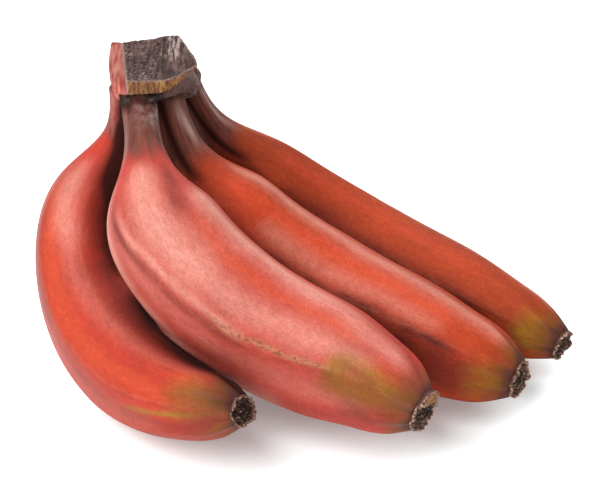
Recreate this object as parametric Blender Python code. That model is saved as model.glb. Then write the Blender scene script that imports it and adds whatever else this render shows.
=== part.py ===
"""A hand of four red bananas, still joined at the crown they were cut with, lying on their bellies.

Metres, +Z up, with the surface it rests on at z = 0. The crown stands up at the back left and the
four fingers run down from it, then out to their tips at the front right, side by side.
"""

import bmesh
import bpy
import numpy as np
from mathutils import Vector

MM = 0.001
GAP = 0.3 * MM  # between pieces that touch

# How thick a finger is along its length, for a girth of 1.
SHARES = (0.0, 0.10, 0.17, 0.25, 0.36, 0.50, 0.65, 0.78, 0.88, 0.95, 1.0)
RADII = (7.0, 7.2, 11.7, 18.8, 21.7, 22.5, 21.5, 19.7, 16.3, 13.0, 7.4)

# Shares of the length where a finger's waypoints lie, from the crown to the tip.
WAYPOINT_SHARES = (0.0, 0.13, 0.30, 0.53, 0.77, 1.0)

# Each finger: waypoints in mm, girth of its body and of its tip, and its long ridges. A ridge is
# given by its angles in degrees at the neck and at the tip, from the side the finger shows.
FINGERS = {
    "left": {
        "waypoints": (
            (-65.9, 62, 99),
            (-70.5, 66.5, 74),
            (-83, 55.5, 47),
            (-76.6, 21.4, 21.7),
            (-50.8, -21.1, 21.3),
            (-20.3, -47.2, 32.9),
        ),
        "girth": 0.85,
        "tip_girth": 0.82,
        "ridges": ((-12, -12), (42, 42), (92, 92), (170, 170), (-95, -95)),
    },
    "front": {
        "waypoints": (
            (-60, 53, 101.5),
            (-56.5, 33.5, 84.5),
            (-49, 15, 67),
            (-20.4, -4.3, 43.4),
            (13, -21.3, 33.9),
            (42, -43.8, 29.9),
        ),
        "girth": 1.02,
        "tip_girth": 1.07,
        "ridges": ((50, -4), (-52, -62), (108, 72), (172, 160), (-125, -132)),
    },
    "middle": {
        "waypoints": (
            (-52.5, 65, 100.5),
            (-44.5, 58, 73.5),
            (-27.5, 50, 47.5),
            (7.5, 34.1, 26.4),
            (43.5, 8, 23.6),
            (78.6, -15.2, 21.9),
        ),
        "girth": 1.1,
        "tip_girth": 1.05,
        "ridges": ((-48, -52), (2, -6), (70, 70), (150, 150), (-125, -125)),
    },
    "rear": {
        "waypoints": (
            (-44.5, 75, 97),
            (-35, 83.5, 71),
            (-11.5, 88, 42.5),
            (27.5, 76.5, 20.3),
            (64, 42, 18.9),
            (98.5, 12.7, 16.5),
        ),
        "girth": 0.82,
        "tip_girth": 0.89,
        "ridges": ((-70, -64), (4, 4), (75, 75), (150, 150), (-140, -140)),
    },
}
FRONT = (0.0, -0.84, 0.54)  # the side that the bunch shows
PLACE = (-0.95, -25.9, 0.02)  # mm that centre the bunch on the origin, over the surface it rests on
STATIONS = 241  # places worked out along a finger
STATIONS_A_RING = 8
SIDES = 30  # points round a ring
RIDGE_HEIGHT = 0.10  # share of the radius
RIDGE_WIDTH = 0.30  # radians
RIDGE_ROUND = 0.07  # radians over which a ridge is rounded
NECK_END = 0.12  # share of the length where the ridges begin
BODY_START = 0.28  # share of the length where they are full

# The crown, from the top down: the outline of the cut it was parted from the stalk with, the lip
# where its trimmed edge ends, and the foot where the fingers leave it. Places in mm, going round it
# from the front left to the right; the cut and the foot are flat, so their heights follow from y.
CUT_OUTLINE = (
    (-67, 47.5),
    (-57.5, 46.5),
    (-50.5, 46.8),
    (-46, 48.4),
    (-42, 51.5),
    (-38.4, 55.5),
    (-38.2, 58.2),
    (-41.2, 64.5),
    (-44.2, 71),
    (-47, 73.8),
    (-56, 71.8),
    (-68, 69.4),
    (-70.8, 68),
    (-70.2, 56),
)
LIP_OUTLINE = (
    (-66, 46, 105.5),
    (-56, 46, 105.3),
    (-50.5, 46, 106),
    (-46, 47.4, 107.3),
    (-42.2, 50, 109.5),
    (-38.6, 54, 111.2),
    (-37.6, 58.5, 111.7),
    (-40, 64.5, 112),
    (-43.5, 73, 112.5),
    (-48, 75.7, 113),
    (-57, 73.5, 112.5),
    (-68, 71, 112),
    (-71.3, 68.8, 111.5),
    (-71, 57, 107.5),
)
FOOT_OUTLINE = (
    (-66, 48),
    (-62, 44),
    (-56, 44.5),
    (-52, 49.5),
    (-48, 56),
    (-42, 65.5),
    (-38.5, 71.5),
    (-38.5, 78.5),
    (-43, 82),
    (-50, 80.5),
    (-55, 74.5),
    (-60, 71.5),
    (-67.5, 68.8),
    (-70.6, 61),
)
CUT_HEIGHT = (46.5, 110.7, 0.2)  # at this y it has this height, in mm, and rises by this share of y
FOOT_HEIGHT = (50, 100.5, -0.25)
WAIST_INSET = 1.5  # mm that the crown draws in below its lip
WAIST_DROP = 0.6
POINTS_A_CORNER = 3

# The dried remains of a blossom, turned about the finger's tip: distance along it and radius, in mm.
BLOSSOM_PROFILE = (
    (0.0, 6.9),
    (0.9, 7.4),
    (2.2, 7.6),
    (3.2, 7.1),
    (3.0, 5.9),
    (1.6, 4.9),
    (1.3, 2.2),
)
BLOSSOM_SIDES = 24

COLOURS = {
    "skin": (0.62, 0.13, 0.09),
    "crown": (0.10, 0.075, 0.065),
    "blossom": (0.20, 0.12, 0.08),
}


def natural_spline(knots, values, places):
    """The natural cubic spline through values at knots, read at places; one row of numbers for each."""
    knots = np.asarray(knots, float)
    values = np.asarray(values, float).reshape(len(knots), -1)
    step = np.diff(knots)
    slope = np.diff(values, axis=0) / step[:, None]
    matrix = np.eye(len(knots))
    right = np.zeros_like(values)
    for k in range(1, len(knots) - 1):
        matrix[k, k - 1 : k + 2] = step[k - 1], 2 * (step[k - 1] + step[k]), step[k]
        right[k] = 6 * (slope[k] - slope[k - 1])
    bend = np.linalg.solve(matrix, right)
    span = np.clip(np.searchsorted(knots, places, side="right") - 1, 0, len(step) - 1)
    width = step[span][:, None]
    after = (np.asarray(places)[:, None] - knots[span][:, None]) / width
    before = 1 - after
    line = before * values[span] + after * values[span + 1]
    curve = (before**3 - before) * bend[span] + (after**3 - after) * bend[span + 1]
    return line + curve * width**2 / 6


def smooth_step(low, high, value):
    share = np.clip((value - low) / (high - low), 0.0, 1.0)
    return share * share * (3 - 2 * share)


def cross_directions(path):
    """Unit tangents and two cross directions along a path, which turn with it and don't twist about it."""
    tangents = np.gradient(path, axis=0)
    tangents /= np.linalg.norm(tangents, axis=1)[:, None]
    first = np.zeros_like(path)
    middle = len(path) // 2
    first[middle] = FRONT
    order = [(k, k - 1) for k in range(middle + 1, len(path))]
    order += [(k, k + 1) for k in range(middle - 1, -1, -1)]
    for k, known in [(middle, middle)] + order:
        across = first[known] - tangents[k] * (first[known] @ tangents[k])
        first[k] = across / np.linalg.norm(across)
    return tangents, first, np.cross(tangents, first)


def ridge_swell(angles, ridges):
    """How much further out than a round section the skin stands, as a share of the radius."""
    swell = np.zeros_like(angles)
    for ridge in np.radians(ridges):
        away = (angles - ridge + np.pi) % (2 * np.pi) - np.pi
        swell += np.exp((RIDGE_ROUND - np.hypot(away, RIDGE_ROUND)) / RIDGE_WIDTH)
    return RIDGE_HEIGHT * (swell - swell.mean())


def finger_rings(finger):
    """The rings of points round a finger from its neck on, and the place and direction of its tip."""
    shares = np.linspace(0, 1, STATIONS)
    path = natural_spline(WAYPOINT_SHARES, finger["waypoints"], shares) * MM
    tangents, first, second = cross_directions(path)
    girth = finger["girth"] + (finger["tip_girth"] - finger["girth"]) * smooth_step(0.5, 0.95, shares)
    radii = natural_spline(SHARES, RADII, shares)[:, 0] * girth * MM
    ridged = smooth_step(NECK_END, BODY_START, shares) * (1 - 0.5 * smooth_step(0.8, 1.0, shares))
    angles = np.linspace(0, 2 * np.pi, SIDES, endpoint=False)
    rings = []
    for k in range(0, STATIONS, STATIONS_A_RING):
        ridges = [neck + (tip - neck) * shares[k] for neck, tip in finger["ridges"]]
        reach = radii[k] * (1 + ridged[k] * ridge_swell(angles, ridges))
        sideways = np.cos(angles)[:, None] * first[k] + np.sin(angles)[:, None] * second[k]
        rings.append(path[k] + reach[:, None] * sideways)
    return rings, path[-1], tangents[-1]


def height_at(y, slope):
    """The height in mm of a flat that is sloped along y."""
    start, height, rise = slope
    return height + rise * (y - start)


def closed_curve(corners):
    """A smooth loop of points, in metres, through corners in mm."""
    corners = np.asarray(corners, float)
    count = len(corners)
    margin = 4
    around = corners[np.arange(-margin, count + margin + 1) % count]
    places = np.arange(count * POINTS_A_CORNER) / POINTS_A_CORNER
    return natural_spline(np.arange(-margin, count + margin + 1), around, places) * MM


def crown():
    """The crown, one body from the flat foot that the fingers leave to the flat cut at its top."""
    cut = [(x, y, height_at(y, CUT_HEIGHT)) for x, y in CUT_OUTLINE]
    foot = [(x, y, height_at(y, FOOT_HEIGHT)) for x, y in FOOT_OUTLINE]
    lip = np.array(LIP_OUTLINE)
    inward = lip.mean(axis=0) - lip
    inward[:, 2] = 0
    inward /= np.linalg.norm(inward, axis=1)[:, None]
    waist = lip + WAIST_INSET * inward - (0, 0, WAIST_DROP)
    rings = [closed_curve(corners) for corners in (foot, waist, lip, cut)]
    return lofted("crown", rings, finish("crown", "crown", 0.85))


def trimmed_at_foot(body):
    """Ends a finger's neck flat, a hair below the crown's foot."""
    start, height, rise = FOOT_HEIGHT
    facing = Vector((0.0, -rise, 1.0)).normalized()
    place = Vector((0.0, start * MM, height * MM)) - facing * GAP
    bm = bmesh.new()
    bm.from_mesh(body.data)
    whole = bm.verts[:] + bm.edges[:] + bm.faces[:]
    cut = bmesh.ops.bisect_plane(bm, geom=whole, plane_co=place, plane_no=facing, clear_outer=True)
    edges = [piece for piece in cut["geom_cut"] if isinstance(piece, bmesh.types.BMEdge)]
    bmesh.ops.contextual_create(bm, geom=edges)
    bmesh.ops.recalc_face_normals(bm, faces=bm.faces)
    bm.to_mesh(body.data)
    bm.free()


def lofted(name, rings, material):
    """A closed body with its skin stretched over rings of points and its two ends filled."""
    bm = bmesh.new()
    loops = [[bm.verts.new(point) for point in ring] for ring in rings]
    for low, high in zip(loops, loops[1:]):
        for k in range(len(low)):
            after = (k + 1) % len(low)
            bm.faces.new((low[k], low[after], high[after], high[k]))
    bm.faces.new(list(reversed(loops[0])))
    bm.faces.new(loops[-1])
    return body_from(name, bm, material)


def body_from(name, bm, material):
    """An object in the scene that holds this mesh, with its faces turned outwards and shaded smooth."""
    bmesh.ops.recalc_face_normals(bm, faces=bm.faces)
    mesh = bpy.data.meshes.new(name)
    bm.to_mesh(mesh)
    bm.free()
    mesh.materials.append(material)
    mesh.shade_smooth()
    mesh.set_sharp_from_angle(angle=np.radians(40))
    body = bpy.data.objects.new(name, mesh)
    bpy.context.scene.collection.objects.link(body)
    return body


def finish(name, kind, roughness):
    material = bpy.data.materials.new(name)
    material.use_nodes = True
    shader = material.node_tree.nodes["Principled BSDF"]
    shader.inputs["Base Color"].default_value = (*COLOURS[kind], 1.0)
    shader.inputs["Roughness"].default_value = roughness
    shader.inputs["Metallic"].default_value = 0.0
    return material


def blossom(name, place, direction, girth):
    """The dried end of a blossom: a short stub, hollow at its far end."""
    turns = np.linspace(0, 2 * np.pi, BLOSSOM_SIDES, endpoint=False)
    rings = []
    for along, radius in BLOSSOM_PROFILE:
        reach = radius * girth
        rings.append([np.array((reach * np.cos(turn), reach * np.sin(turn), along)) * MM for turn in turns])
    body = lofted(name, rings, finish(name, "blossom", 0.9))
    axis = Vector(direction)
    body.location = Vector(place) + axis * GAP
    body.rotation_euler = axis.to_track_quat("Z", "Y").to_euler()
    return body


def build():
    for old in list(bpy.data.objects):
        bpy.data.objects.remove(old)
    bunch = bpy.data.objects.new("bunch", None)
    bunch.location = Vector(PLACE) * MM
    bpy.context.scene.collection.objects.link(bunch)
    pieces = [crown()]
    for side, finger in FINGERS.items():
        rings, place, direction = finger_rings(finger)
        pieces.append(lofted(f"banana_{side}", rings, finish(f"banana_{side}", "skin", 0.5)))
        trimmed_at_foot(pieces[-1])
        pieces.append(blossom(f"blossom_{side}", place, direction, finger["tip_girth"]))
    for piece in pieces:
        piece.parent = bunch


build()
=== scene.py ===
"""The looks of a hand of four red bananas: skins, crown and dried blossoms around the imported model.

Metres, +Z up, the camera looking along +Y from in front and above.
"""

import bmesh
import bpy
import numpy as np
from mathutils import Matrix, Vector
from mathutils.bvhtree import BVHTree


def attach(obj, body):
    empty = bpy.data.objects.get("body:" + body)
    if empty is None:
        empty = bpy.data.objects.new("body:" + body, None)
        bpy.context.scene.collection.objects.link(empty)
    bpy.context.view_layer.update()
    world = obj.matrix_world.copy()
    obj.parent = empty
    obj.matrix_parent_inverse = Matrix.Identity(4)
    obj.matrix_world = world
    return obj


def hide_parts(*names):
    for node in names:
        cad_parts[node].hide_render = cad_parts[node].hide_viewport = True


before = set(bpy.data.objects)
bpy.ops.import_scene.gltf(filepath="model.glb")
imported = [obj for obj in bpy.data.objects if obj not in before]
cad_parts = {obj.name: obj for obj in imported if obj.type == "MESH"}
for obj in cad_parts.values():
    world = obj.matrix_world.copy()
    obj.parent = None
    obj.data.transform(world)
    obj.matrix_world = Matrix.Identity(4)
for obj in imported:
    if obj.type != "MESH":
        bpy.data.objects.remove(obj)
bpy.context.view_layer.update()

MM = 0.001
PLACE = np.array((-0.95, -25.9, 0.02))  # mm that the bunch was shifted by in the frame

# How thick a finger is along its length, for a girth of 1.
SHARES = (0.0, 0.10, 0.17, 0.25, 0.36, 0.50, 0.65, 0.78, 0.88, 0.95, 1.0)
RADII = (7.0, 7.2, 11.7, 18.8, 21.7, 22.5, 21.5, 19.7, 16.3, 13.0, 7.4)
WAYPOINT_SHARES = (0.0, 0.13, 0.30, 0.53, 0.77, 1.0)

# Each finger: its course in mm and its girths, as the imported model has them, and the angles of its
# long ridges at the neck and at the tip. An angle goes round the finger from the side it shows, in
# degrees. "neck_end" and "tip_start" are the shares of the length where the dry neck ends and where
# the tip starts to dry. "flare" widens the root of the neck, in mm. "flank" swells the finger about a
# (share, angle), over these spreads and by this many mm. "root" and "shade" say how dark the painted
# shade is at the top of the neck, under the crown's lip, and on the peel beside a neighbour. "tone"
# is the plain red of the peel, and "specular" its specular level where it isn't the usual one.
#
# A mark runs along the peel from one (share, angle) to another, with a half width in degrees and a
# strength. The kinds are: bloom_and_highlight, a pale waxy bloom that is also painted highlight on
# the lit top and painted reflection along the rims; ripe, an orange-red flush; olive; dusk_and_shade,
# a darker red that is painted shade on the lower sides and beside a neighbour, and a darker blotch
# of the peel in places; scar, tan with dark dots; strip, the live skin that goes on up the crown;
# smudge, a grey-purple line; chafed_and_highlight, a pale worn patch on a neck, partly painted
# highlight on its lit side; and painted_shade, nearly black painted shade between the necks, where a
# finger lies under or beside another and at the left tip, with a faint darkening over the front neck.
FINGERS = {
    "left": {
        "waypoints": (
            (-65.9, 62, 99),
            (-70.5, 66.5, 74),
            (-83, 55.5, 47),
            (-76.6, 21.4, 21.7),
            (-50.8, -21.1, 21.3),
            (-20.3, -47.2, 32.9),
        ),
        "girth": 0.85,
        "tip_girth": 0.82,
        "ridges": ((-12, -12), (42, 42), (92, 92), (170, 170), (-95, -95)),
        "neck_end": 0.10,
        "tip_start": 0.89,
        "flare": -0.5,
        "flank": ((0.6, -62), (0.13, 38), 3.2),
        "tone": (0.34, 0.030, 0.016),
        "marks": {
            "bloom_and_highlight": (
                ((0.20, 26), (0.38, 2), 19, 0.75),
                ((0.38, 2), (0.92, -28), 12, 0.3),
                ((0.25, 60), (0.85, 76), 13, 0.3),
            ),
            "ripe": (((0.30, 26), (0.88, 27), 15, 1.0),),
            "olive": (((0.88, 22), (1.0, 22), 38, 0.8), ((0.79, 62), (0.96, 52), 5, 0.8)),
            "dusk_and_shade": (((0.3, 48), (0.98, 80), 14, 0.6), ((0.45, -34), (0.95, -50), 22, 0.9)),
            "strip": (((-0.1, 16), (0.088, 12), 36, 1.0),),
            "painted_shade": (
                ((-0.1, -36), (0.10, -34), 27, 1.6),
                ((0.08, -34), (0.24, -42), 27, 1.6),
                ((0.24, -44), (0.5, -56), 24, 1.0),
                ((0.58, -62), (1.1, -66), 26, 1.2),
                ((0.965, 0), (1.1, 0), 50, 0.6),
            ),
        },
    },
    "front": {
        "waypoints": (
            (-60, 53, 101.5),
            (-56.5, 33.5, 84.5),
            (-49, 15, 67),
            (-20.4, -4.3, 43.4),
            (13, -21.3, 33.9),
            (42, -43.8, 29.9),
        ),
        "girth": 1.02,
        "tip_girth": 1.07,
        "ridges": ((50, -4), (-52, -62), (108, 72), (172, 160), (-125, -132)),
        "neck_end": 0.125,
        "tip_start": 0.93,
        "root": 0.9,
        "shade": 0.45,
        "flare": 0.0,
        "tone": (0.33, 0.034, 0.022),
        "marks": {
            "bloom_and_highlight": (
                ((0.16, 2), (0.45, -7), 22, 1.0),
                ((0.45, -7), (0.88, -15), 16, 0.7),
                ((0.26, -54), (0.5, -62), 13, 1.0),
                ((0.5, -62), (0.72, -56), 13, 1.0),
                ((0.72, -56), (0.95, -44), 12, 0.7),
                ((0.2, 62), (0.34, 80), 15, 1.1),
                ((0.34, 80), (0.7, 78), 12, 0.7),
                ((0.3, 44), (0.92, 34), 15, 0.3),
                ((0.25, 34), (0.34, 23), 4, 0.6),
                ((0.34, 23), (0.55, 12), 4, 0.6),
            ),
            "ripe": (((0.34, -33), (0.82, -37), 9, 1.0),),
            "olive": (((0.80, 8), (1.05, 4), 26, 1.25),),
            "dusk_and_shade": (
                ((0.24, 43), (0.34, 32), 4.5, 0.9),
                ((0.34, 32), (0.56, 21), 4.5, 0.8),
                ((0.17, -40), (0.31, -30), 10, 0.9),
                ((0.86, 44), (1.0, 44), 20, 0.8),
                ((0.5, 74), (0.9, 70), 14, 0.45),
            ),
            "scar": (((0.50, 17), (0.80, 8), 2.4, 1.0),),
            "chafed_and_highlight": (((0.05, 46), (0.14, 50), 7, 0.4),),
            "painted_shade": (((-0.1, -5), (0.11, -5), 60, 0.2),),
        },
    },
    "middle": {
        "waypoints": (
            (-52.5, 65, 100.5),
            (-44.5, 58, 73.5),
            (-27.5, 50, 47.5),
            (7.5, 34.1, 26.4),
            (43.5, 8, 23.6),
            (78.6, -15.2, 21.9),
        ),
        "girth": 1.1,
        "tip_girth": 1.05,
        "ridges": ((-48, -52), (2, -6), (70, 70), (150, 150), (-125, -125)),
        "neck_end": 0.145,
        "tip_start": 0.935,
        "root": 0.9,
        "specular": 0.04,
        "tone": (0.29, 0.036, 0.013),
        "marks": {
            "bloom_and_highlight": (
                ((0.2, -68), (0.5, -61), 12, 0.7),
                ((0.5, -61), (0.97, -52), 12, 0.65),
                ((0.35, -19), (0.84, -18), 11, 0.4),
            ),
            "ripe": (((0.2, -34), (0.86, -34), 13, 1.0),),
            "olive": (((0.92, 34), (1.05, 32), 36, 1.0),),
            "dusk_and_shade": (
                ((0.24, 10), (0.7, 12), 16, 1.0),
                ((0.66, 12), (0.95, 22), 20, 1.0),
                ((0.3, 36), (0.93, 46), 20, 0.8),
            ),
            "smudge": (((0.68, -4), (0.88, 0), 5, 1.0), ((0.35, -3), (0.68, -5), 2.5, 0.7)),
            "painted_shade": (((-0.1, 22), (0.08, 22), 16, 1.0), ((0.08, 20), (0.18, -2), 14, 1.0)),
            "chafed_and_highlight": (((0.04, -24), (0.10, -46), 15, 1.3),),
        },
    },
    "rear": {
        "waypoints": (
            (-44.5, 75, 97),
            (-35, 83.5, 71),
            (-11.5, 88, 42.5),
            (27.5, 76.5, 20.3),
            (64, 42, 18.9),
            (98.5, 12.7, 16.5),
        ),
        "girth": 0.82,
        "tip_girth": 0.89,
        "ridges": ((-70, -64), (4, 4), (75, 75), (150, 150), (-140, -140)),
        "neck_end": 0.155,
        "root": 0.4,
        "specular": 0.04,
        "tip_start": 0.955,
        "tone": (0.25, 0.036, 0.013),
        "marks": {
            "bloom_and_highlight": (((0.2, -82), (1.0, -74), 11, 0.5),),
            "ripe": (((0.25, -40), (0.8, -40), 14, 0.5),),
            "olive": (((0.93, 6), (1.1, 6), 48, 1.3),),
            "dusk_and_shade": (((0.3, 6), (0.85, 14), 20, 0.9),),
            "painted_shade": (((-0.1, 48), (0.08, 42), 18, 1.0), ((0.08, 38), (0.2, 0), 15, 1.0)),
            "chafed_and_highlight": (((-0.05, -10), (0.14, -50), 14, 0.6),),
            "scar": (((0.16, -82), (0.2, -80), 9, 0.5),),
        },
    },
}
FRONT = (0.0, -0.84, 0.54)  # the side that the bunch shows
STATIONS = 241  # places worked out along a finger
SIDES = 160  # points round a finger
RIDGE_HEIGHT = 0.10  # share of the radius
RIDGE_WIDTH = 0.30  # radians
RIDGE_ROUND = 0.07  # radians over which a ridge is rounded
NECK_END = 0.12  # share of the length where the ridges begin
BODY_START = 0.28  # share of the length where they are full
FLOOR_GAP = 0.03  # mm that the peel stays above the floor
SHADE_REACH = 5.5  # mm over which the peel is darker beside a neighbour
NECK_SHADE = 3.0  # mm more of it between the necks
PLEATS = 8  # folds that gather the peel round a tip
PRESS_REACH = 2.5  # mm between two fingers that the peel swells to close where they lie together
GAP_LIMIT = 25.0  # mm beyond which a neighbour counts for nothing

# The crown's outlines, in mm: its dark cut face, the lip under its trimmed edge, and its foot.
CUT_OUTLINE = (
    (-67, 47.5),
    (-57.5, 46.5),
    (-50.5, 46.8),
    (-46, 48.4),
    (-42, 51.5),
    (-38.4, 55.5),
    (-38.2, 58.2),
    (-41.2, 64.5),
    (-44.2, 71),
    (-47, 73.8),
    (-56, 71.8),
    (-68, 69.4),
    (-70.8, 68),
    (-70.2, 56),
)
LIP_OUTLINE = (
    (-66, 46, 105.5),
    (-56, 46, 105.3),
    (-50.5, 46, 106),
    (-46, 47.4, 107.3),
    (-42.2, 50, 109.5),
    (-38.6, 54, 111.2),
    (-37.6, 58.5, 111.7),
    (-40, 64.5, 112),
    (-43.5, 73, 112.5),
    (-48, 75.7, 113),
    (-57, 73.5, 112.5),
    (-68, 71, 112),
    (-71.3, 68.8, 111.5),
    (-71, 57, 107.5),
)
FOOT_OUTLINE = (
    (-66, 48),
    (-62, 44),
    (-56, 44.5),
    (-52, 49.5),
    (-48, 56),
    (-42, 65.5),
    (-38.5, 71.5),
    (-38.5, 78.5),
    (-43, 82),
    (-50, 80.5),
    (-55, 74.5),
    (-60, 71.5),
    (-67.5, 68.8),
    (-70.6, 61),
)
CUT_HEIGHT = (46.5, 110.7, 0.2)  # at this y it has this height, in mm, and rises by this share of y
FOOT_HEIGHT = (50, 100.5, -0.25)
WAIST_INSET = 2.6  # mm that the crown draws in below its lip
WAIST_DROP = 0.5  # mm
POINTS_A_CORNER = 9
CROWN_VOXEL = 0.36  # mm
ROOT_STATIONS = 11  # stations of a neck that the crown's roots follow
ROOT_SIDES = 48
ROOT_FLARE = 1.3  # mm, where a finger names no other
ROOT_DIVE = 0.6  # mm that a root ends below the finger's skin
STRIP_EDGE = (46.4, -63.3, -0.15)  # where the strip of skin beside the cut ends: its x follows from y
SCUFF = ((-54, 44.5, 99), 6.0)  # where the necks were scuffed white, and how widely

# The dried blossom at each tip: how ragged it is drawn, where its thick flap lies, in degrees, and how
# much darker its rim and hollow are drawn; on the left tip this is painted shade from the front finger
# above it.
BLOSSOMS = {
    "left": {"seed": 3, "flap": None, "dark": 0.85},
    "front": {"seed": 5, "flap": -66, "dark": 0.0},
    "middle": {"seed": 8, "flap": None, "dark": 0.15},
    "rear": {"seed": 11, "flap": None, "dark": 0.2},
}
BLOSSOM_GAP = -0.3  # mm past the tip, so that it grows out of the peel
BLOSSOM_HEIGHT = 3.15  # mm
BLOSSOM_RADIUS = 6.9  # mm
BLOSSOM_SIDES = 120
CRUMPLES = 12  # rings of its crumpled hollow


def natural_spline(knots, values, places):
    """The natural cubic spline through values at knots, read at places; one row of numbers for each."""
    knots = np.asarray(knots, float)
    values = np.asarray(values, float).reshape(len(knots), -1)
    step = np.diff(knots)
    slope = np.diff(values, axis=0) / step[:, None]
    matrix = np.eye(len(knots))
    right = np.zeros_like(values)
    for k in range(1, len(knots) - 1):
        matrix[k, k - 1 : k + 2] = step[k - 1], 2 * (step[k - 1] + step[k]), step[k]
        right[k] = 6 * (slope[k] - slope[k - 1])
    bend = np.linalg.solve(matrix, right)
    span = np.clip(np.searchsorted(knots, places, side="right") - 1, 0, len(step) - 1)
    width = step[span][:, None]
    after = (np.asarray(places)[:, None] - knots[span][:, None]) / width
    before = 1 - after
    line = before * values[span] + after * values[span + 1]
    curve = (before**3 - before) * bend[span] + (after**3 - after) * bend[span + 1]
    return line + curve * width**2 / 6


def smooth_step(low, high, value):
    """From 0 at low to 1 at high, easing in and out."""
    share = np.clip((value - low) / (high - low), 0.0, 1.0)
    return share * share * (3 - 2 * share)


def mottle(places, size, seed):
    """Smooth noise from -1 to 1 at these places, with features of this size."""
    period = 16
    table = np.random.default_rng(seed).uniform(-1, 1, (period, period, period))
    cell = places / size
    low = np.floor(cell).astype(int)
    part = cell - low
    part = part * part * (3 - 2 * part)
    value = np.zeros(places.shape[:-1])
    for corner in np.ndindex(2, 2, 2):
        weight = np.prod(np.where(corner, part, 1 - part), axis=-1)
        index = (low + corner) % period
        value += weight * table[index[..., 0], index[..., 1], index[..., 2]]
    return value


def cross_directions(path):
    """Unit tangents and two cross directions along a path, which turn with it and don't twist."""
    tangents = np.gradient(path, axis=0)
    tangents /= np.linalg.norm(tangents, axis=1)[:, None]
    first = np.zeros_like(path)
    middle = len(path) // 2
    first[middle] = FRONT
    order = [(k, k - 1) for k in range(middle + 1, len(path))]
    order += [(k, k + 1) for k in range(middle - 1, -1, -1)]
    for k, known in [(middle, middle)] + order:
        across = first[known] - tangents[k] * (first[known] @ tangents[k])
        first[k] = across / np.linalg.norm(across)
    return tangents, first, np.cross(tangents, first)


def ridge_swell(angles, ridges):
    """How much further out than a round section the skin stands, as a share of the radius."""
    swell = np.zeros_like(angles)
    for ridge in np.radians(ridges):
        away = (angles - ridge + np.pi) % (2 * np.pi) - np.pi
        swell += np.exp((RIDGE_ROUND - np.hypot(away, RIDGE_ROUND)) / RIDGE_WIDTH)
    return RIDGE_HEIGHT * (swell - swell.mean())


class Finger:
    """The course of one finger, in mm: its path, directions and radii."""

    def __init__(self, name):
        self.name = name
        facts = FINGERS[name]
        self.shares = np.linspace(0, 1, STATIONS)
        self.path = natural_spline(WAYPOINT_SHARES, facts["waypoints"], self.shares) + PLACE
        self.tangents, self.first, self.second = cross_directions(self.path)
        swell = smooth_step(0.5, 0.95, self.shares)
        girth = facts["girth"] + (facts["tip_girth"] - facts["girth"]) * swell
        self.radii = natural_spline(SHARES, RADII, self.shares)[:, 0] * girth
        self.facts = facts

    def surface(self, angles, relief=0.0):
        """Points of the skin, one row for each station, pushed out by relief in mm."""
        ridged = smooth_step(NECK_END, BODY_START, self.shares)
        ridged *= 1 - 0.5 * smooth_step(0.8, 1.0, self.shares)
        relief = np.broadcast_to(relief, (STATIONS, len(angles)))
        rows = []
        for k, share in enumerate(self.shares):
            ridges = [neck + (tip - neck) * share for neck, tip in self.facts["ridges"]]
            reach = self.radii[k] * (1 + ridged[k] * ridge_swell(angles, ridges)) + relief[k]
            reach = reach + self.flank(share, angles)
            rows.append(self.path[k] + reach[:, None] * self.sideways(angles, k))
        return np.array(rows)

    def sideways(self, angles, station):
        """Unit directions straight out from the path, one for each angle."""
        first, second = self.first[station], self.second[station]
        return np.cos(angles)[:, None] * first + np.sin(angles)[:, None] * second

    def flank(self, share, angles):
        """How far the finger swells out sideways where it lies on its neighbour, in mm."""
        if "flank" not in self.facts:
            return 0.0
        (middle, centre), (length, width), height = self.facts["flank"]
        away = (np.degrees(angles) - centre + 180) % 360 - 180
        return height * np.exp(-(((share - middle) / length) ** 2) - (away / width) ** 2)

    def rind(self, angles):
        """Where each point of the skin lies in mm along and around it, on a drum 40 mm across."""
        steps = np.linalg.norm(np.diff(self.path, axis=0), axis=1)
        along = np.concatenate([[0], np.cumsum(steps)])
        rind = np.zeros((STATIONS, len(angles), 3))
        rind[..., 0] = along[:, None]
        rind[..., 1] = 20 * np.cos(angles)
        rind[..., 2] = 20 * np.sin(angles)
        return rind


def peel_relief(finger, rind, seed):
    """Dents of the body, lengthwise folds of the neck, and creases and pleats at the tip, in mm."""
    shares = finger.shares[:, None]
    neck = 1 - smooth_step(0.1, 0.24, shares)
    tip = smooth_step(0.88, 0.985, shares)
    dents = 0.20 * mottle(rind * (0.6, 1, 1), 13, seed)
    dents += 0.06 * mottle(rind * (0.4, 1, 1), 4.5, seed + 1)
    folds = 0.38 * mottle(rind * (0.12, 1, 1), 9, seed + 2)
    folds += 0.12 * mottle(rind * (0.2, 1, 1), 4, seed + 3)
    creases = 0.42 * mottle(rind * (0.3, 1, 1), 5.5, seed + 4) - 0.12
    around_tip = np.arctan2(rind[..., 2], rind[..., 1])
    pleats = smooth_step(0.91, 0.97, shares) * (0.7 * np.cos(PLEATS * around_tip + seed) - 0.5)
    return dents - 0.17 + neck * folds + tip * creases + pleats


def tube_faces(count, sides):
    """The four-cornered faces between rows of points that each go round once."""
    faces = []
    for start in range(0, (count - 1) * sides, sides):
        for j in range(sides):
            after = (j + 1) % sides
            faces.append((start + j, start + after, start + sides + after, start + sides + j))
    return faces


def write_masks(mesh, masks):
    """A point attribute for each mask: a vector where a point has three numbers, or else a float."""
    count = len(mesh.vertices)
    for key, values in masks.items():
        vector = values.size == 3 * count
        layer = mesh.attributes.new(key, "FLOAT_VECTOR" if vector else "FLOAT", "POINT")
        numbers = np.ascontiguousarray(values, np.float32).ravel()
        layer.data.foreach_set("vector" if vector else "value", numbers)


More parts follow.
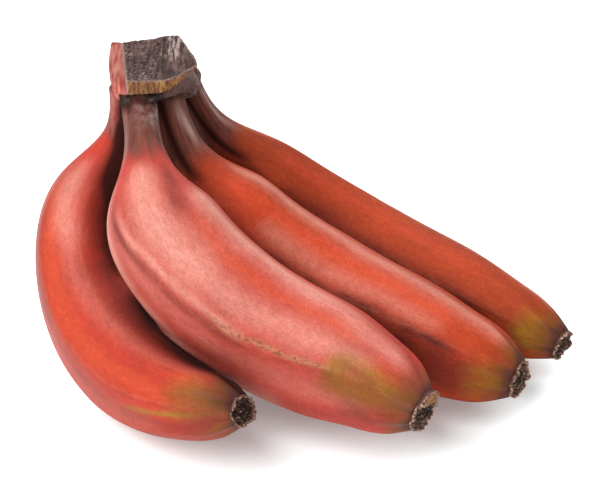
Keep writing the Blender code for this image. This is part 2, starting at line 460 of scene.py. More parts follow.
def grid_piece(name, rows, material, masks):
    """A tube skinned over rows of points in mm, closed at both ends."""
    count, sides = rows.shape[:2]
    points = [tuple(point) for point in (rows * MM).reshape(-1, 3)]
    faces = tube_faces(count, sides)
    faces.append(tuple(reversed(range(sides))))
    faces.append(tuple(range((count - 1) * sides, count * sides)))
    mesh = bpy.data.meshes.new(name)
    mesh.from_pydata(points, [], faces)
    write_masks(mesh, masks)
    return finished(name, mesh, material)


def finished(name, mesh, material):
    """The object of a mesh, its faces turned outwards, shaded smooth and with its material."""
    bm = bmesh.new()
    bm.from_mesh(mesh)
    bmesh.ops.recalc_face_normals(bm, faces=bm.faces)
    bm.to_mesh(mesh)
    bm.free()
    mesh.materials.append(material)
    mesh.shade_smooth()
    piece = bpy.data.objects.new(name, mesh)
    bpy.context.scene.collection.objects.link(piece)
    return piece


SPECULAR = 0.12  # specular level of every finish, but for the fingers that name their own


class Paint:
    """The node tree of one material, with short ways to add what the finishes here need."""

    def __init__(self, name, roughness):
        self.material = bpy.data.materials.new(name)
        self.material.use_nodes = True
        self.tree = self.material.node_tree
        self.shader = self.tree.nodes["Principled BSDF"]
        self.shader.inputs["Roughness"].default_value = roughness
        self.shader.inputs["Specular IOR Level"].default_value = SPECULAR

    def add(self, kind, output, settings=(), **sockets):
        made = self.tree.nodes.new("ShaderNode" + kind)
        for key, value in dict(settings).items():
            setattr(made, key, value)
        for key, value in sockets.items():
            self.put(made.inputs[key.replace("_", " ")], value)
        return made.outputs[output]

    def put(self, socket, value):
        if isinstance(value, bpy.types.NodeSocket):
            self.tree.links.new(value, socket)
        elif socket.type == "RGBA":
            socket.default_value = (*value, 1.0)
        else:
            socket.default_value = value

    def mask(self, name):
        return self.add("Attribute", "Fac", {"attribute_name": name})

    def noise(self, size, stretch=1.0, detail=3.0, rough=0.5, shift=0.0):
        """Noise from 0 to 1 with grains of this size in mm, drawn out along the finger."""
        rind = self.add("Attribute", "Vector", {"attribute_name": "rind"})
        scale = (1 / stretch, 1.0, 1.0)
        place = self.add("Mapping", "Vector", Vector=rind, Scale=scale, Location=(shift,) * 3)
        return self.add("TexNoise", "Fac", Vector=place, Scale=1 / size, Detail=detail, Roughness=rough)

    def place_noise(self, size, scale, detail=3.0, rough=0.6):
        """Noise from 0 to 1 with grains of this size in mm, in the frame's own directions."""
        spot = self.add("TexCoord", "Object")
        place = self.add("Mapping", "Vector", Vector=spot, Scale=scale)
        grain = {"Scale": 1 / (size * MM), "Detail": detail, "Roughness": rough}
        return self.add("TexNoise", "Fac", Vector=place, **grain)

    def range(self, value, low, high, to_low=0.0, to_high=1.0):
        """The value moved from between low and high to between the other two, and kept there."""
        sockets = {"From_Min": low, "From_Max": high, "To_Min": to_low, "To_Max": to_high}
        return self.add("MapRange", "Result", Value=value, **sockets)

    def math(self, operation, first, second):
        made = self.tree.nodes.new("ShaderNodeMath")
        made.operation = operation
        self.put(made.inputs[0], first)
        self.put(made.inputs[1], second)
        return made.outputs[0]

    def times(self, first, second):
        return self.math("MULTIPLY", first, second)

    def mix(self, share, under, over, blend="MIX"):
        return self.add("MixRGB", "Color", {"blend_type": blend}, Fac=share, Color1=under, Color2=over)

    def bump(self, height, strength, distance, normal=None):
        sockets = {"Height": height, "Strength": strength, "Distance": distance}
        if normal:
            sockets["Normal"] = normal
        return self.add("Bump", "Normal", **sockets)


def plain(name, colour, roughness, glow):
    """One colour all over, which shines by itself this strongly."""
    material = bpy.data.materials.new(name)
    material.use_nodes = True
    shader = material.node_tree.nodes["Principled BSDF"]
    shader.inputs["Base Color"].default_value = (*colour, 1.0)
    shader.inputs["Roughness"].default_value = roughness
    shader.inputs["Emission Color"].default_value = (1, 1, 1, 1)
    shader.inputs["Emission Strength"].default_value = glow
    return material


# Pale waxy bloom, partly painted highlight and painted reflection.
BLOOM_AND_HIGHLIGHT = (0.60, 0.27, 0.215)
RIPE = (0.46, 0.056, 0.022)
OLIVE = (0.27, 0.140, 0.014)
OLIVE_BROWN = (0.19, 0.072, 0.010)
NECK_DARK = (0.070, 0.021, 0.015)
NECK_PALE = (0.20, 0.058, 0.040)
NECK_GREY = (0.13, 0.068, 0.054)
# Darker red: painted shade on the lower sides and beside a neighbour, and a darker blotch in places.
DUSK_AND_SHADE = (0.15, 0.020, 0.014)
STRIP_RED = (0.27, 0.040, 0.028)
# Pale streaks of painted wet highlight on the strip.
STRIP_WET_HIGHLIGHT = (0.50, 0.20, 0.16)
SCAR = (0.085, 0.032, 0.018)
TAN_SCAR = (0.34, 0.15, 0.075)
RING = (0.065, 0.022, 0.018)
TIP_BROWN = (0.130, 0.057, 0.010)
TIP_PURPLE = (0.150, 0.044, 0.026)
# Pale worn patch, partly painted highlight on the lit side of a neck.
CHAFED_AND_HIGHLIGHT = (0.46, 0.30, 0.265)
SMUDGE = (0.055, 0.016, 0.017)
SHADE = (0.018, 0.004, 0.003)
SCUFF_WHITE = (0.42, 0.37, 0.34)
SPECK_TINT = (0.55, 0.45, 0.40)
MOTTLE_TINT = (0.62, 0.50, 0.46)


def neck_colour(paint, flow):
    """Dry grey-brown stalk, the same on the crown's roots and on the necks that leave them."""
    patch = paint.place_noise(5, (1, 1, 0.5), detail=3)
    colour = paint.mix(paint.range(flow, 0.26, 0.70), NECK_DARK, NECK_PALE)
    colour = paint.mix(paint.range(patch, 0.45, 0.7, 0.0, 0.5), colour, NECK_GREY)
    speck = paint.range(paint.place_noise(2.4, (1, 1, 0.6), detail=5), 0.44, 0.66)
    scuff = paint.times(speck, paint.mask("scuff"))
    return paint.mix(paint.times(scuff, 0.75), colour, SCUFF_WHITE)


def strip_colour(paint):
    """The wet pink-red strip of peel that runs down beside the cut, with pale streaks of painted wet
    highlight.
    """
    flow = paint.place_noise(1.1, (1, 0.14, 0.14), detail=3)
    return paint.mix(paint.range(flow, 0.42, 0.72), STRIP_RED, STRIP_WET_HIGHLIGHT)


def skin_noises(paint):
    """The noises that break up the skin's colours, from broad clouds down to specks."""
    return {
        "broad": paint.noise(13, stretch=2.5, detail=4),
        "cloud": paint.noise(4.5, stretch=2.2, detail=4, rough=0.6, shift=7.0),
        "grain": paint.noise(1.1, stretch=4, detail=4, rough=0.65),
        "speck": paint.noise(0.75, stretch=1.3, detail=3, rough=0.7, shift=3.0),
        "dash": paint.noise(0.9, stretch=7, detail=2, rough=0.5, shift=13.0),
        "stalk": paint.noise(4.0, stretch=4, detail=5, rough=0.62, shift=5.0),
        "fleck": paint.noise(0.8, stretch=2.2, detail=2, rough=0.6, shift=17.0),
        "mottling": paint.noise(2.4, stretch=1.6, detail=3, rough=0.6, shift=21.0),
    }


def ripening_colour(paint, noises, tone):
    """The red peel with its flush, a bloom that is partly painted highlight, a darker red that is
    partly painted shade, its olive parts and its drying tip.
    """
    broad, cloud = noises["broad"], noises["cloud"]
    colour = paint.mix(paint.range(broad, 0.35, 0.65), tone, tuple(c * 1.25 for c in tone))
    colour = paint.mix(paint.times(paint.mask("ripe"), 0.85), colour, RIPE)
    dapple = paint.range(noises["grain"], 0.3, 0.7, 0.84, 1.06)
    dapple = paint.times(paint.range(cloud, 0.3, 0.7, 0.78, 1.1), dapple)
    # Pale bloom, partly painted highlight on the lit top and painted reflection along the rims.
    bloom_and_highlight = paint.times(paint.mask("bloom_and_highlight"), dapple)
    colour = paint.mix(paint.times(bloom_and_highlight, 0.82), colour, BLOOM_AND_HIGHLIGHT)
    ragged = paint.range(cloud, 0.3, 0.7, 0.7, 1.3)
    # Darker red, painted shade on the lower sides and beside a neighbour, and a darker blotch in places.
    dusk_and_shade = paint.times(ragged, paint.mask("dusk_and_shade"))
    colour = paint.mix(paint.range(dusk_and_shade, 0.05, 1.0, 0.0, 0.8), colour, DUSK_AND_SHADE)
    olive = paint.times(ragged, paint.mask("olive"))
    leaf = paint.mix(paint.range(broad, 0.4, 0.6), OLIVE_BROWN, OLIVE)
    colour = paint.mix(paint.range(olive, 0.1, 1.0, 0.0, 0.85), colour, leaf)
    dried = paint.mix(paint.range(cloud, 0.42, 0.58), TIP_BROWN, TIP_PURPLE)
    drying = paint.times(paint.mask("tip"), paint.range(broad, 0.35, 0.6, 0.6, 0.95))
    return paint.mix(drying, colour, dried)


def worn_colour(paint, noises, colour, tone):
    """The same with fine dark dashes, a smudge, worn ridges and dusky lines beside them."""
    cloud, grain = noises["cloud"], noises["grain"]
    lines = paint.times(paint.range(noises["dash"], 0.60, 0.72), paint.mask("body"))
    colour = paint.mix(paint.times(lines, 0.2), colour, tuple(c * 0.5 for c in tone))
    smudge = paint.times(paint.mask("smudge"), paint.range(cloud, 0.4, 0.6, 0.2, 0.9))
    colour = paint.mix(smudge, colour, SMUDGE)
    worn = paint.times(paint.mask("ridge"), paint.range(grain, 0.4, 0.65, 0.0, 0.35))
    colour = paint.mix(worn, colour, TAN_SCAR)
    beside = paint.times(paint.mask("groove"), paint.range(cloud, 0.4, 0.65, 0.0, 0.4))
    return paint.mix(beside, colour, DUSK_AND_SHADE)


def speckled_colour(paint, noises, colour):
    """The same with its darker specks and mottling, its scars, the ring at the tip and the shade."""
    grain = noises["grain"]
    specks = paint.range(noises["speck"], 0.34, 0.66, 0.5, 0.0)
    colour = paint.mix(specks, colour, SPECK_TINT, "MULTIPLY")
    mottling = paint.range(noises["mottling"], 0.35, 0.65, 0.3, 0.0)
    colour = paint.mix(mottling, colour, MOTTLE_TINT, "MULTIPLY")
    dry = paint.times(paint.mask("scar"), paint.range(grain, 0.35, 0.6, 0.25, 0.9))
    colour = paint.mix(dry, colour, TAN_SCAR)
    dots = paint.times(paint.mask("scar"), paint.range(noises["fleck"], 0.53, 0.60))
    colour = paint.mix(paint.times(dots, 0.85), colour, SCAR)
    colour = paint.mix(paint.mask("ring"), colour, RING)
    return paint.mix(paint.mask("shade"), colour, SHADE)


def skin(finger):
    """Peel: red, with a pale bloom that is partly painted highlight, painted shade, olive at the tip,
    grey-brown at the neck and dry scars.
    """
    paint = Paint(f"skin_{finger.name}", 0.5)
    specular = finger.facts.get("specular", SPECULAR)
    paint.shader.inputs["Specular IOR Level"].default_value = specular
    tone = finger.facts["tone"]
    noises = skin_noises(paint)
    stalk, grain = noises["stalk"], noises["grain"]
    colour = ripening_colour(paint, noises, tone)
    colour = worn_colour(paint, noises, colour, tone)
    colour = paint.mix(paint.mask("neck"), colour, neck_colour(paint, stalk))
    # Pale worn patches on the necks, partly painted highlight where a neck faces the light.
    chafed_and_highlight = paint.times(paint.mask("chafed_and_highlight"), paint.range(stalk, 0.35, 0.62, 0.35, 0.9))
    colour = paint.mix(chafed_and_highlight, colour, CHAFED_AND_HIGHLIGHT)
    colour = paint.mix(paint.mask("strip"), colour, strip_colour(paint))
    paint.put(paint.shader.inputs["Base Color"], speckled_colour(paint, noises, colour))
    dull = paint.times(paint.mask("shade"), 0.45)
    roughness = paint.math("ADD", paint.range(grain, 0.2, 0.8, 0.46, 0.60), dull)
    paint.put(paint.shader.inputs["Roughness"], roughness)
    fine = paint.bump(noises["speck"], 0.25, 0.0003)
    paint.put(paint.shader.inputs["Normal"], paint.bump(grain, 0.35, 0.0006, fine))
    return paint.material


def streak(shares, angles, mark):
    """How strongly a mark that runs along the skin from one place to another shows at each point."""
    (start, first), (end, last), width, strength = mark
    course = np.clip((shares - start) / (end - start), 0, 1)
    centre = first + (last - first) * course
    away = (np.degrees(angles) - centre + 180) % 360 - 180
    fade = 0.04
    along = smooth_step(start - fade, start + fade, shares)
    along *= 1 - smooth_step(end - fade, end + fade, shares)
    return strength * along * np.exp(-((away / width) ** 2))


def ridge_lines(finger, shares, angles, shift, width):
    """A line along each ridge, this many degrees to one side of it and this wide, from 0 to 1."""
    line = np.zeros(shares.shape)
    for neck, tip in finger.facts["ridges"]:
        away = np.degrees(angles) - neck - (tip - neck) * shares - shift
        line += np.exp(-((((away + 180) % 360 - 180) / width) ** 2))
    return line * smooth_step(0.2, 0.32, shares) * (1 - smooth_step(0.86, 0.96, shares))


def scuff_mask(points):
    """Where the necks were scuffed white, from 0 to 1."""
    centre, reach = SCUFF
    away = np.linalg.norm(points - PLACE - centre, axis=-1)
    return np.exp(-((away / reach) ** 2))


def neighbour_trees(name):
    """The plain skins of the other fingers, for measuring how close they come."""
    angles = np.linspace(-np.pi, np.pi, 60, endpoint=False)
    trees = []
    for other in FINGERS:
        if other != name:
            rows = Finger(other).surface(angles)[::4]
            corners = [Vector(point) for point in rows.reshape(-1, 3)]
            trees.append(BVHTree.FromPolygons(corners, tube_faces(*rows.shape[:2])))
    return trees


def neighbour_gap(finger, points):
    """How far off the nearest other finger is, in mm, and how squarely the skin faces it, up to 1."""
    flat = points.reshape(-1, 3)
    outward = (points - finger.path[:, None]).reshape(-1, 3)
    outward /= np.linalg.norm(outward, axis=1)[:, None]
    away = np.full(len(flat), GAP_LIMIT)
    facing = np.zeros(len(flat))
    for tree in neighbour_trees(finger.name):
        for k, point in enumerate(flat):
            found = tree.find_nearest(Vector(point), away[k])
            if found[3] is not None:
                away[k] = found[3]
                facing[k] = (found[0] - Vector(point)).dot(Vector(outward[k])) / max(found[3], 1e-6)
    return away.reshape(points.shape[:-1]), facing.reshape(points.shape[:-1])


def shade_mask(finger, away, facing):
    """How dark the peel is for lying close beside another finger, from 0 to 1."""
    reach = SHADE_REACH + NECK_SHADE * (1 - smooth_step(0.14, 0.3, finger.shares))[:, None]
    depth = finger.facts.get("shade", 0.95)
    return depth * np.exp(-((away / reach) ** 1.3)) * smooth_step(0.1, 0.85, facing)


def skin_masks(finger, angles, rind, points, shade, seed):
    """What shows where on the skin, from 0 to 1."""
    shares = np.repeat(finger.shares[:, None], len(angles), axis=1)
    angles = np.repeat(angles[None], len(finger.shares), axis=0)
    masks = {
        "rind": rind,
        "body": smooth_step(0.14, 0.3, shares),
        "ridge": ridge_lines(finger, shares, angles, 0, 1.6),
        "groove": ridge_lines(finger, shares, angles, 4.0, 2.6),
        "scuff": scuff_mask(points),
        "shade": shade,
    }
    angles = angles + 0.05 * mottle(rind, 11, seed + 1)
    for kind in ("scar", "strip", "smudge", "chafed_and_highlight"):
        masks[kind] = marked(finger, kind, shares, angles)
    shares = shares + 0.012 * mottle(rind, 9, seed)
    for kind in ("bloom_and_highlight", "ripe", "olive", "dusk_and_shade"):
        masks[kind] = marked(finger, kind, shares, angles)
    # Nearly black painted shade: at the top of a neck under the crown's lip, where the marks of painted
    # shade lie, and beside a neighbour.
    root = finger.facts.get("root", 0.0) * (1 - smooth_step(0.020, 0.042, shares))
    painted_shade = np.maximum(root, 0.96 * marked(finger, "painted_shade", shares, angles))
    masks["shade"] = np.maximum(shade * (1 - 0.95 * masks["strip"]), painted_shade)
    fringe = 0.012 * mottle(rind * (0.2, 1, 1), 5, seed + 6)
    end = finger.facts["neck_end"]
    masks["neck"] = 1 - smooth_step(end - 0.03, end + 0.03, shares + 0.7 * fringe)
    masks["ring"] = 0.9 * smooth_step(0.980, 0.999, shares + 0.4 * fringe)
    masks["tip"] = smooth_step(finger.facts["tip_start"], 0.99, shares + 1.5 * fringe)
    return masks


def marked(finger, kind, shares, angles):
    """How strongly the finger's marks of one kind show at each point, from 0 to 1."""
    total = np.zeros(shares.shape)
    for mark in finger.facts["marks"].get(kind, ()):
        total += streak(shares, angles, mark)
    return np.minimum(total, 1)


def build_finger(name, seed):
    finger = Finger(name)
    angles = np.linspace(-np.pi, np.pi, SIDES, endpoint=False)
    rind = finger.rind(angles)
    relief = peel_relief(finger, rind, seed)
    away, facing = neighbour_gap(finger, finger.surface(angles, relief))
    press = 0.5 * away * np.exp(-((away / PRESS_REACH) ** 4)) * smooth_step(0.3, 0.8, facing)
    rows = finger.surface(angles, relief + press * smooth_step(0.2, 0.3, finger.shares)[:, None])
    rows[..., 2] = np.maximum(rows[..., 2], FLOOR_GAP)
    masks = skin_masks(finger, angles, rind, rows, shade_mask(finger, away, facing), seed)
    piece = grid_piece(f"skin_{name}", rows, skin(finger), masks)
    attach(piece, "root")
    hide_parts(f"banana_{name}")


def height_at(y, slope):
    """The height at y of a plane that rises evenly from a known height."""
    start, height, rise = slope
    return height + rise * (y - start)


def closed_curve(corners):
    """A smooth loop of points, in mm, through corners."""
    corners = np.asarray(corners, float)
    count = len(corners)
    margin = 4
    around = corners[np.arange(-margin, count + margin + 1) % count]
    places = np.arange(count * POINTS_A_CORNER) / POINTS_A_CORNER
    return natural_spline(np.arange(-margin, count + margin + 1), around, places) + PLACE


def crown_rings():
    """Loops round the crown, in mm: at its foot, its waist, its lip and the edge of its cut face."""
    cut = [(x, y, height_at(y, CUT_HEIGHT)) for x, y in CUT_OUTLINE]
    foot = [(x, y, height_at(y, FOOT_HEIGHT)) for x, y in FOOT_OUTLINE]
    lip = np.array(LIP_OUTLINE)
    inward = lip.mean(axis=0) - lip
    inward[:, 2] = 0
    inward /= np.linalg.norm(inward, axis=1)[:, None]
    waist = lip + WAIST_INSET * inward - (0, 0, WAIST_DROP)
    return [closed_curve(corners) for corners in (foot, waist, lip, cut)]


def tube_into(bm, rings):
    """Adds a closed skin over these rings of points, in mm."""
    loops = [[bm.verts.new(tuple(point * MM)) for point in ring] for ring in rings]
    for low, high in zip(loops, loops[1:]):
        for k in range(len(low)):
            after = (k + 1) % len(low)
            bm.faces.new((low[k], low[after], high[after], high[k]))
    bm.faces.new(list(reversed(loops[0])))
    bm.faces.new(loops[-1])


def neck_root(finger):
    """Rings of the root of a neck, from inside the crown to where it dives under the finger's skin."""
    angles = np.linspace(-np.pi, np.pi, ROOT_SIDES, endpoint=False)
    flare = finger.facts.get("flare", ROOT_FLARE)
    rings = []
    for k in range(ROOT_STATIONS):
        share = k / (ROOT_STATIONS - 1)
        reach = finger.radii[k] + flare * (1 - share) ** 2 - ROOT_DIVE * share
        rings.append(finger.path[k] + reach * finger.sideways(angles, k))
    return rings


def remeshed(bm, voxel):
    """The outer skin of everything in bm, as points in mm and faces."""
    mesh = bpy.data.meshes.new("blank")
    bmesh.ops.recalc_face_normals(bm, faces=bm.faces)
    bm.to_mesh(mesh)
    bm.free()
    blank = bpy.data.objects.new("blank", mesh)
    bpy.context.scene.collection.objects.link(blank)
    remesh = blank.modifiers.new("fuse", "REMESH")
    remesh.mode = "VOXEL"
    remesh.voxel_size = voxel * MM
    soften = blank.modifiers.new("soften", "SMOOTH")
    soften.factor = 0.5
    soften.iterations = 4
    bpy.context.view_layer.update()
    fused = bpy.data.meshes.new_from_object(blank.evaluated_get(bpy.context.evaluated_depsgraph_get()))
    bpy.data.objects.remove(blank)
    bpy.data.meshes.remove(mesh)
    return fused


def read_points(mesh):
    """The mesh's points in mm and its normals, a row for each."""
    points = np.empty(len(mesh.vertices) * 3)
    mesh.vertices.foreach_get("co", points)
    normals = np.empty(len(mesh.vertices) * 3)
    mesh.vertex_normals.foreach_get("vector", normals)
    return points.reshape(-1, 3) / MM, normals.reshape(-1, 3)


def crown_masks(points, normals):
    """What shows where on the crown, from 0 to 1, and how far the surface is lifted, in mm."""
    local = points - PLACE
    x, y, z = local.T
    lip, cut = crown_rings()[2:]
    start, edge, lean = STRIP_EDGE
    beside = x - edge - lean * (y - start)
    strip = np.maximum(smooth_step(103.5, 105.5, z), smooth_step(49, 51, y))
    strip *= 1 - smooth_step(-0.5, 0.3, beside)
    lip_away = np.linalg.norm(points[:, None, :2] - lip[None, :, :2], axis=2)
    above_lip = points[:, 2] - lip[lip_away.argmin(axis=1), 2] + 0.25 * mottle(points, 1.2, 9)
    rim_away = np.linalg.norm(points[:, None] - cut[None], axis=2).min(axis=1)
    top = 1 - smooth_step(0.5, 1.3, height_at(y, CUT_HEIGHT) - z)
    top *= smooth_step(0.35, 0.7, normals[:, 2])
    face = top * (1 - strip)
    # Painted shadow: nearly black just under the lip, and on the roots of the front necks below it.
    shadow_under_lip = (1 - smooth_step(-0.9, -0.1, above_lip)) * smooth_step(-4.0, -1.2, above_lip)
    front_neck_shadow = (1 - smooth_step(-3.0, -1.5, above_lip)) * (1 - smooth_step(-52, -48.5, x))
    streaks = smooth_step(-54, -49, x) * (1 - smooth_step(-44.5, -43, x))
    masks = {
        "rind": local[:, [2, 0, 1]],
        "face": face,
        "strip": strip * (1 - top * smooth_step(68, 68.6, y)),
        "band": smooth_step(-0.8, -0.1, above_lip) * (1 - top) * (1 - strip),
        # Painted black shadow under the lip.
        "under": np.maximum(shadow_under_lip, 0.85 * front_neck_shadow),
        "rim": np.exp(-((rim_away / 0.55) ** 2)) * (1 - strip),
        "foot": (1 - smooth_step(-2.0, -0.5, above_lip)) * (1 - strip),
        "frost": 1 - smooth_step(-56, -48, x),
        "cap": smooth_step(-4, 0, z - height_at(y, CUT_HEIGHT)),
        "line": np.exp(-((beside / 0.4) ** 2)) * smooth_step(-0.5, 0.5, above_lip),
        "streaks": streaks * smooth_step(57, 63, y),
        "scuff": scuff_mask(points),
    }
    pitted = 0.28 * mottle(points, 1.7, 3) + 0.16 * mottle(points, 0.8, 4)
    fibre = 0.32 * mottle(points * (1, 1, 0.12), 0.9, 5)
    sunk = -0.7 * (1 - np.exp(-rim_away / 4))
    lift = face * (pitted + sunk) + masks["band"] * fibre + strip * 0.6 * fibre - 0.35 * masks["line"]
    lift += (1 - face) * 0.22 * mottle(points, 3.5, 6) - 0.15
    return masks, lift


def build_crown():
    bm = bmesh.new()
    tube_into(bm, crown_rings())
    for side in FINGERS:
        tube_into(bm, neck_root(Finger(side)))
    mesh = remeshed(bm, CROWN_VOXEL)
    points, normals = read_points(mesh)
    masks, lift = crown_masks(points, normals)
    points = points + normals * lift[:, None]
    mesh.vertices.foreach_set("co", (points * MM).ravel())
    write_masks(mesh, masks)
    piece = finished("crown_dry", mesh, crown_finish())
    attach(piece, "root")
    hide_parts("crown")


FACE_DARK = (0.020, 0.010, 0.009)
FACE_PALE = (0.100, 0.054, 0.049)
FACE_BLOOM = (0.34, 0.26, 0.245)
FOOT_DARK = (0.030, 0.015, 0.012)
FOOT_GREY = (0.150, 0.095, 0.084)
BAND_DARK = (0.07, 0.026, 0.014)
BAND_TAN = (0.20, 0.080, 0.038)
BAND_GOLD = (0.30, 0.155, 0.052)
RIM_PALE = (0.34, 0.23, 0.20)
# Painted shadow under the crown's lip.
SHADOW_BLACK = (0.010, 0.006, 0.005)


def cut_face_colour(paint, dots):
    """The dark dried cut, with shreds along it, a grey frost and a few paler streaks."""
    haze = paint.noise(3.5, detail=4, rough=0.6, shift=6.0)
    patch = paint.noise(5, detail=3, shift=9.0)
    lengths = paint.place_noise(1.1, (1, 0.16, 0.16), detail=4)
    patchy = paint.range(patch, 0.34, 0.62, 0.25, 1.0)
    shreds = paint.times(paint.range(lengths, 0.4, 0.64), patchy)
    face = paint.mix(shreds, FACE_DARK, FACE_PALE)
    hazy = paint.range(haze, 0.4, 0.62, 0.15, 1.0)
    frost = paint.times(paint.range(dots, 0.5, 0.68, 0.0, 0.75), hazy)
    frost = paint.times(frost, paint.range(paint.mask("frost"), 0, 1, 0.35, 1))
    face = paint.mix(frost, face, FACE_BLOOM)
    pale = paint.times(paint.mask("streaks"), paint.range(lengths, 0.52, 0.66))
    return paint.mix(paint.times(pale, 0.8), face, FACE_BLOOM)


def trimmed_edge_colour(paint, grain):
    """The tan fibres of the trimmed edge below the cut."""
    patch = paint.noise(5, detail=3, shift=9.0)
    band = paint.mix(paint.range(patch, 0.4, 0.6), BAND_TAN, BAND_GOLD)
    return paint.mix(paint.range(grain, 0.38, 0.62), BAND_DARK, band)


def foot_colour(paint, dots):
    """The crown below its lip: the necks' roots, a grey foot between them and painted black shadow under
    the lip.
    """
    stalk = paint.place_noise(1.5, (1, 1, 0.22), detail=4)
    foot = paint.mix(paint.range(stalk, 0.36, 0.6), FOOT_DARK, FOOT_GREY)
    stem = paint.mix(paint.times(paint.mask("foot"), 0.8), neck_colour(paint, stalk), foot)
    dusty = paint.times(paint.mask("foot"), paint.range(dots, 0.5, 0.7, 0.0, 0.6))
    return paint.mix(paint.mask("under"), paint.mix(dusty, stem, FACE_BLOOM), SHADOW_BLACK)


def crown_finish():
    """Dark mottled cut face, tan fibrous edge, pink-red strip of skin and grey-brown roots."""
    paint = Paint("crown_dry", 0.85)
    grain = paint.noise(0.8, stretch=5, detail=4, rough=0.65)
    dots = paint.noise(1.1, detail=5, rough=0.8, shift=3.0)
    colour = paint.mix(paint.mask("band"), foot_colour(paint, dots), trimmed_edge_colour(paint, grain))
    strip = paint.mix(paint.times(paint.mask("cap"), 0.4), strip_colour(paint), NECK_DARK)
    colour = paint.mix(paint.mask("strip"), colour, strip)
    colour = paint.mix(paint.mask("face"), colour, cut_face_colour(paint, dots))
    rim = paint.times(paint.mask("rim"), paint.range(dots, 0.35, 0.65, 0.15, 0.75))
    colour = paint.mix(rim, colour, RIM_PALE)
    colour = paint.mix(paint.times(paint.mask("line"), 0.6), colour, RIM_PALE)
    paint.put(paint.shader.inputs["Base Color"], colour)
    paint.put(paint.shader.inputs["Roughness"], paint.range(grain, 0.2, 0.8, 0.6, 0.9))
    fibres = paint.bump(grain, 0.4, 0.0005)
    paint.put(paint.shader.inputs["Normal"], paint.bump(dots, 0.5, 0.0006, fibres))
    return paint.material


def around(turns, lobes, seed):
    """Smooth noise from -1 to 1 round a circle, with about this many lobes."""
    circle = np.stack([np.cos(turns), np.sin(turns), np.zeros_like(turns)], axis=-1) + 3
    return mottle(circle, 6.3 / lobes, seed)


def flap_mask(facts):
    """Where round the cup its thick flap lies, from 0 to 1."""
    turns = np.linspace(-np.pi, np.pi, BLOSSOM_SIDES, endpoint=False)
    if facts["flap"] is None:
        return np.zeros_like(turns)
    away = (np.degrees(turns) - facts["flap"] + 180) % 360 - 180
    return np.exp(-((away / 42) ** 4))


def blossom_rings(finger, facts):
    """Rings of the ragged cup, from its foot up the outside, over the rim and down inside it."""
    turns = np.linspace(-np.pi, np.pi, BLOSSOM_SIDES, endpoint=False)
    seed = facts["seed"]
    torn = 0.62 + 0.36 * around(turns, 9, seed) + 0.34 * around(turns, 34, seed + 1)
    thick = 0.95 + 0.55 * around(turns, 14, seed + 2) + 0.3 * around(turns, 40, seed + 6)
    flap = flap_mask(facts)
    torn = torn * (1 - flap) + flap * (0.92 + 0.1 * around(turns, 20, seed + 3))
    thick = thick + 3.6 * flap
    height = BLOSSOM_HEIGHT * np.clip(torn, 0.25, 1.0)
    outer = BLOSSOM_RADIUS + 1.2 * flap
    outer += 0.30 * around(turns, 9, seed + 4) + 0.18 * around(turns, 26, seed + 7)
    inner = outer - np.maximum(thick, 0.3)
    up_outside = [(0.0, outer - 0.5), (0.2, outer - 0.3), (0.5, outer - 0.1), (0.8, outer)]
    over_rim = [(0.95, outer - 0.1), (1.0, 0.5 * (outer + inner)), (0.93, inner + 0.1), (0.75, inner)]
    rows = [(share * height, radius) for share, radius in up_outside + over_rim]
    for share in np.linspace(0.08, 0.94, CRUMPLES):
        crumple = 0.75 * around(turns, 5 + 14 * (1 - share), seed + 9 + int(CRUMPLES * share))
        depth = np.clip(1.1 - 0.4 * share + crumple, 0.15, 0.85 * height)
        rows.append((depth, inner * (1 - share) * (1 + 0.08 * around(turns, 12, seed + 30))))
    outward = finger.tangents[-1]
    start = finger.path[-1] + BLOSSOM_GAP * outward
    sideways = finger.sideways(turns, -1) * finger.facts["tip_girth"]
    rings = [start + along[:, None] * outward + radius[:, None] * sideways for along, radius in rows]
    return np.array(rings)


def build_blossom(name):
    finger = Finger(name)
    facts = BLOSSOMS[name]
    rings = blossom_rings(finger, facts)
    count = len(rings)
    order = np.repeat(np.arange(count)[:, None], BLOSSOM_SIDES, axis=1)
    local = rings - finger.path[-1]
    above = (local @ finger.tangents[-1]) / BLOSSOM_HEIGHT
    masks = {
        "rind": local,
        "rim": smooth_step(1.5, 4, order) * (1 - smooth_step(6, 8, order)),
        "flap": flap_mask(facts) * smooth_step(3, 5, order) * (1 - smooth_step(9, 12, order)),
        "hollow": smooth_step(6.5, 8.5, order),
        "crest": smooth_step(0.15, 0.5, above),
    }
    piece = grid_piece(f"dry_{name}", rings, blossom_finish(f"dry_{name}", facts["dark"]), masks)
    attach(piece, "root")
    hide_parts(f"blossom_{name}")


WALL_BROWN = (0.050, 0.019, 0.015)
RIM_TAN = (0.46, 0.27, 0.20)
RIM_BROWN = (0.055, 0.022, 0.015)
FLAP_OCHRE = (0.25, 0.105, 0.030)
HOLLOW = (0.009, 0.005, 0.004)
CRUMPLE = (0.13, 0.050, 0.026)
FIBRE_WHITE = (0.50, 0.42, 0.36)


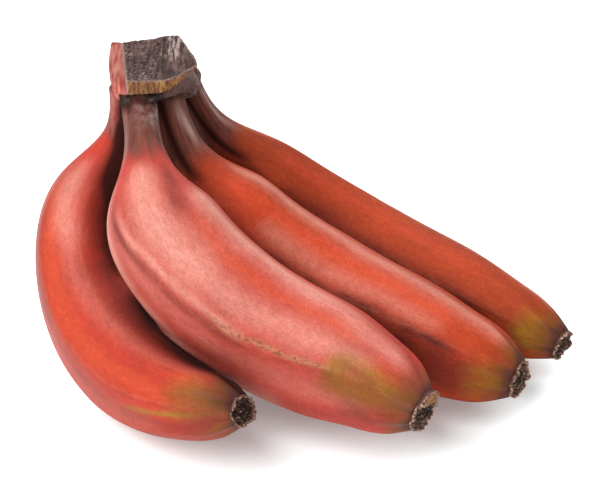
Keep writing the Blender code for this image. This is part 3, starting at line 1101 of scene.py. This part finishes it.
def blossom_finish(name, dark):
    """Dry torn flower remains: brown outside, a tan papery rim and a black hollow with pale fibres."""
    paint = Paint(name, 0.85)
    grain = paint.noise(0.9, detail=4, rough=0.7)
    fibre = paint.noise(1.0, stretch=3, detail=3, rough=0.6, shift=5.0)
    rim = paint.mix(paint.range(grain, 0.46, 0.56), RIM_BROWN, RIM_TAN)
    rim = paint.mix(paint.range(fibre, 0.60, 0.66, 0.0, 0.8), rim, FIBRE_WHITE)
    wall = paint.mix(paint.range(fibre, 0.4, 0.7), WALL_BROWN, RIM_BROWN)
    ragged = paint.range(grain, 0.48, 0.62, 0.0, 0.8 - 0.5 * dark)
    ragged = paint.times(paint.mask("crest"), ragged)
    inside = paint.mix(paint.range(fibre, 0.47, 0.57, 0.0, 0.8 - 0.5 * dark), HOLLOW, CRUMPLE)
    inside = paint.mix(ragged, inside, RIM_TAN)
    inside = paint.mix(paint.range(fibre, 0.62, 0.68, 0.0, 0.8), inside, FIBRE_WHITE)
    colour = paint.mix(paint.times(paint.mask("rim"), 1 - 0.6 * dark), wall, rim)
    colour = paint.mix(paint.mask("hollow"), colour, inside)
    holes = paint.mix(paint.range(grain, 0.42, 0.50), RIM_BROWN, FLAP_OCHRE)
    colour = paint.mix(paint.mask("flap"), colour, holes)
    paint.put(paint.shader.inputs["Base Color"], colour)
    paint.put(paint.shader.inputs["Roughness"], paint.range(grain, 0.2, 0.8, 0.7, 0.95))
    fibres = paint.bump(fibre, 0.5, 0.0005)
    paint.put(paint.shader.inputs["Normal"], paint.bump(grain, 0.6, 0.0005, fibres))
    return paint.material


FLOOR_COLOUR = (0.86, 0.94, 0.94)
FLOOR_GLOW = 0.16  # a light table: the shadows on it stay pale
FLOOR_REACH = 3.0  # metres from the middle to each side


def floor():
    mesh = bpy.data.meshes.new("floor")
    signs = ((-1, -1), (1, -1), (1, 1), (-1, 1))
    mesh.from_pydata([(FLOOR_REACH * x, FLOOR_REACH * y, 0) for x, y in signs], [], [(0, 1, 2, 3)])
    mesh.materials.append(plain("floor", FLOOR_COLOUR, 0.6, FLOOR_GLOW))
    obj = bpy.data.objects.new("floor", mesh)
    bpy.context.scene.collection.objects.link(obj)


CAMERA_ELEVATION = 33.13  # degrees
CAMERA_DISTANCE = 0.5611  # metres
CAMERA_AIM = np.array((0.0, 0.0, 72.24)) + PLACE  # mm
LENS = 95.42  # mm
SENSOR = 36.0  # mm


def camera():
    data = bpy.data.cameras.new("camera")
    data.lens = LENS
    data.sensor_width = SENSOR
    obj = bpy.data.objects.new("camera", data)
    rise = np.radians(CAMERA_ELEVATION)
    away = CAMERA_DISTANCE * np.array((0.0, -np.cos(rise), np.sin(rise)))
    obj.location = CAMERA_AIM * MM + away
    obj.rotation_euler = (np.pi / 2 - rise, 0.0, 0.0)
    bpy.context.scene.collection.objects.link(obj)
    bpy.context.scene.camera = obj


# The studio: the strength of its white surroundings, and its lamps' places in metres, their widths in
# metres and their powers in watts.
SURROUNDINGS = 0.72
LAMPS = {
    "key": ((-0.48, -0.50, 0.85), 0.9, 15),
    "back": ((0.15, 0.70, 0.90), 1.5, 13),
}
LAMP_AIM = (0, 0, 0.05)


def lamp(name, place, size, power):
    data = bpy.data.lights.new(name, "AREA")
    data.shape = "DISK"
    data.size = size
    data.energy = power
    obj = bpy.data.objects.new(name, data)
    obj.location = place
    aim = Vector(LAMP_AIM) - Vector(place)
    obj.rotation_euler = aim.to_track_quat("-Z", "Y").to_euler()
    bpy.context.scene.collection.objects.link(obj)


def light():
    world = bpy.data.worlds.new("studio")
    world.use_nodes = True
    background = world.node_tree.nodes["Background"]
    background.inputs["Color"].default_value = (1, 1, 1, 1)
    background.inputs["Strength"].default_value = SURROUNDINGS
    bpy.context.scene.world = world
    for name, (place, size, power) in LAMPS.items():
        lamp(name, place, size, power)


floor()
camera()
light()
for number, side in enumerate(FINGERS):
    build_finger(side, 20 * number + 5)
    build_blossom(side)
build_crown()
bpy.context.scene.view_settings.view_transform = "Standard"
